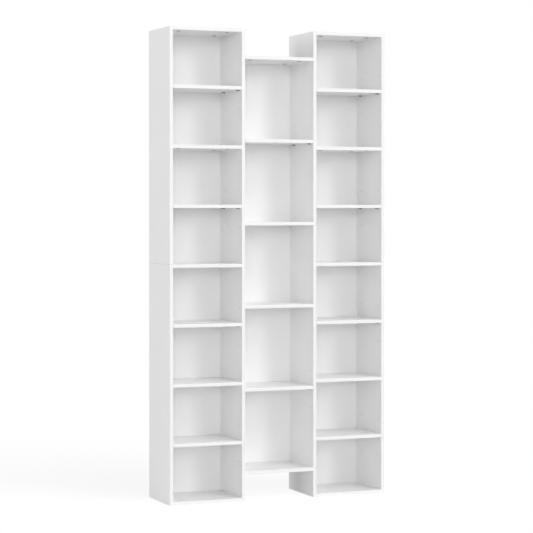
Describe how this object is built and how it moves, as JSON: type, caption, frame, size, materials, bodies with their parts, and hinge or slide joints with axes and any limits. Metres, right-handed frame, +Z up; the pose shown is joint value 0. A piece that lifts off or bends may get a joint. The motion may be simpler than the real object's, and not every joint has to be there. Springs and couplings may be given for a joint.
{
  "type": "bookshelf",
  "caption": "Tall white melamine bookcase: full-height side towers, a hung centre column, boards on cam locks, adjustable shelves on pins, grooved back panels.",
  "frame": {"origin": "on the floor, in the middle of the case's width and depth", "axes": "+X across to the right seen from the front, +Y from the open front to the back, +Z up"},
  "size_m": [1.1, 0.3, 2.25],
  "materials": {
    "white_melamine": "satin white melamine on particle board, with white edge banding",
    "white_hardboard": "white lacquer on the front of thin hardboard, bare brown behind",
    "cam_zinc": "grey die-cast zinc",
    "dark_zinc_steel": "grey plated steel",
    "bright_zinc_steel": "bright zinc-plated steel",
    "beech": "plain turned beech"
  },
  "bodies": {
    "case": {"left_outer_side_lower": "white_melamine", "left_outer_side_upper": "white_melamine", "left_inner_side_lower": "white_melamine", "left_inner_side_upper": "white_melamine", "right_inner_side_lower": "white_melamine", "right_inner_side_upper": "white_melamine", "right_outer_side_lower": "white_melamine", "right_outer_side_upper": "white_melamine", "left_bottom_board": "white_melamine", "left_fixed_shelf_1": "white_melamine", "left_middle_board": "white_melamine", "left_fixed_shelf_2": "white_melamine", "left_top_board": "white_melamine", "centre_bottom_board": "white_melamine", "centre_fixed_shelf_1": "white_melamine", "centre_fixed_shelf_2": "white_melamine", "centre_top_board": "white_melamine", "right_bottom_board": "white_melamine", "right_fixed_shelf_1": "white_melamine", "right_middle_board": "white_melamine", "right_fixed_shelf_2": "white_melamine", "right_top_board": "white_melamine", "left_back_panel_lower": "white_hardboard", "left_back_panel_upper": "white_hardboard", "centre_back_panel_lower": "white_hardboard", "centre_back_panel_upper": "white_hardboard", "right_back_panel_lower": "white_hardboard", "right_back_panel_upper": "white_hardboard", "cam_locks": "cam_zinc", "cam_bolts": "bright_zinc_steel", "board_dowels": "beech", "seam_dowels": "beech", "seam_plates": "bright_zinc_steel", "seam_plate_screws": "bright_zinc_steel", "shelf_pins": "dark_zinc_steel", "back_panel_nails": "bright_zinc_steel", "wall_brackets": "bright_zinc_steel", "wall_bracket_screws": "bright_zinc_steel"},
    "left_adjustable_shelf_1": {"left_adjustable_shelf_1": "white_melamine"},
    "left_adjustable_shelf_2": {"left_adjustable_shelf_2": "white_melamine"},
    "left_adjustable_shelf_3": {"left_adjustable_shelf_3": "white_melamine"},
    "left_adjustable_shelf_4": {"left_adjustable_shelf_4": "white_melamine"},
    "centre_adjustable_shelf_1": {"centre_adjustable_shelf_1": "white_melamine"},
    "centre_adjustable_shelf_2": {"centre_adjustable_shelf_2": "white_melamine"},
    "right_adjustable_shelf_1": {"right_adjustable_shelf_1": "white_melamine"},
    "right_adjustable_shelf_2": {"right_adjustable_shelf_2": "white_melamine"},
    "right_adjustable_shelf_3": {"right_adjustable_shelf_3": "white_melamine"},
    "right_adjustable_shelf_4": {"right_adjustable_shelf_4": "white_melamine"}
  },
  "joints": [
    {"name": "left_adjustable_shelf_1_slide", "type": "slide", "parent": "case", "child": "left_adjustable_shelf_1", "axis": [0, -1, 0], "range_m": [0, 0.3]},
    {"name": "left_adjustable_shelf_2_slide", "type": "slide", "parent": "case", "child": "left_adjustable_shelf_2", "axis": [0, -1, 0], "range_m": [0, 0.3]},
    {"name": "left_adjustable_shelf_3_slide", "type": "slide", "parent": "case", "child": "left_adjustable_shelf_3", "axis": [0, -1, 0], "range_m": [0, 0.3]},
    {"name": "left_adjustable_shelf_4_slide", "type": "slide", "parent": "case", "child": "left_adjustable_shelf_4", "axis": [0, -1, 0], "range_m": [0, 0.3]},
    {"name": "centre_adjustable_shelf_1_slide", "type": "slide", "parent": "case", "child": "centre_adjustable_shelf_1", "axis": [0, -1, 0], "range_m": [0, 0.3]},
    {"name": "centre_adjustable_shelf_2_slide", "type": "slide", "parent": "case", "child": "centre_adjustable_shelf_2", "axis": [0, -1, 0], "range_m": [0, 0.3]},
    {"name": "right_adjustable_shelf_1_slide", "type": "slide", "parent": "case", "child": "right_adjustable_shelf_1", "axis": [0, -1, 0], "range_m": [0, 0.3]},
    {"name": "right_adjustable_shelf_2_slide", "type": "slide", "parent": "case", "child": "right_adjustable_shelf_2", "axis": [0, -1, 0], "range_m": [0, 0.3]},
    {"name": "right_adjustable_shelf_3_slide", "type": "slide", "parent": "case", "child": "right_adjustable_shelf_3", "axis": [0, -1, 0], "range_m": [0, 0.3]},
    {"name": "right_adjustable_shelf_4_slide", "type": "slide", "parent": "case", "child": "right_adjustable_shelf_4", "axis": [0, -1, 0], "range_m": [0, 0.3]}
  ]
}
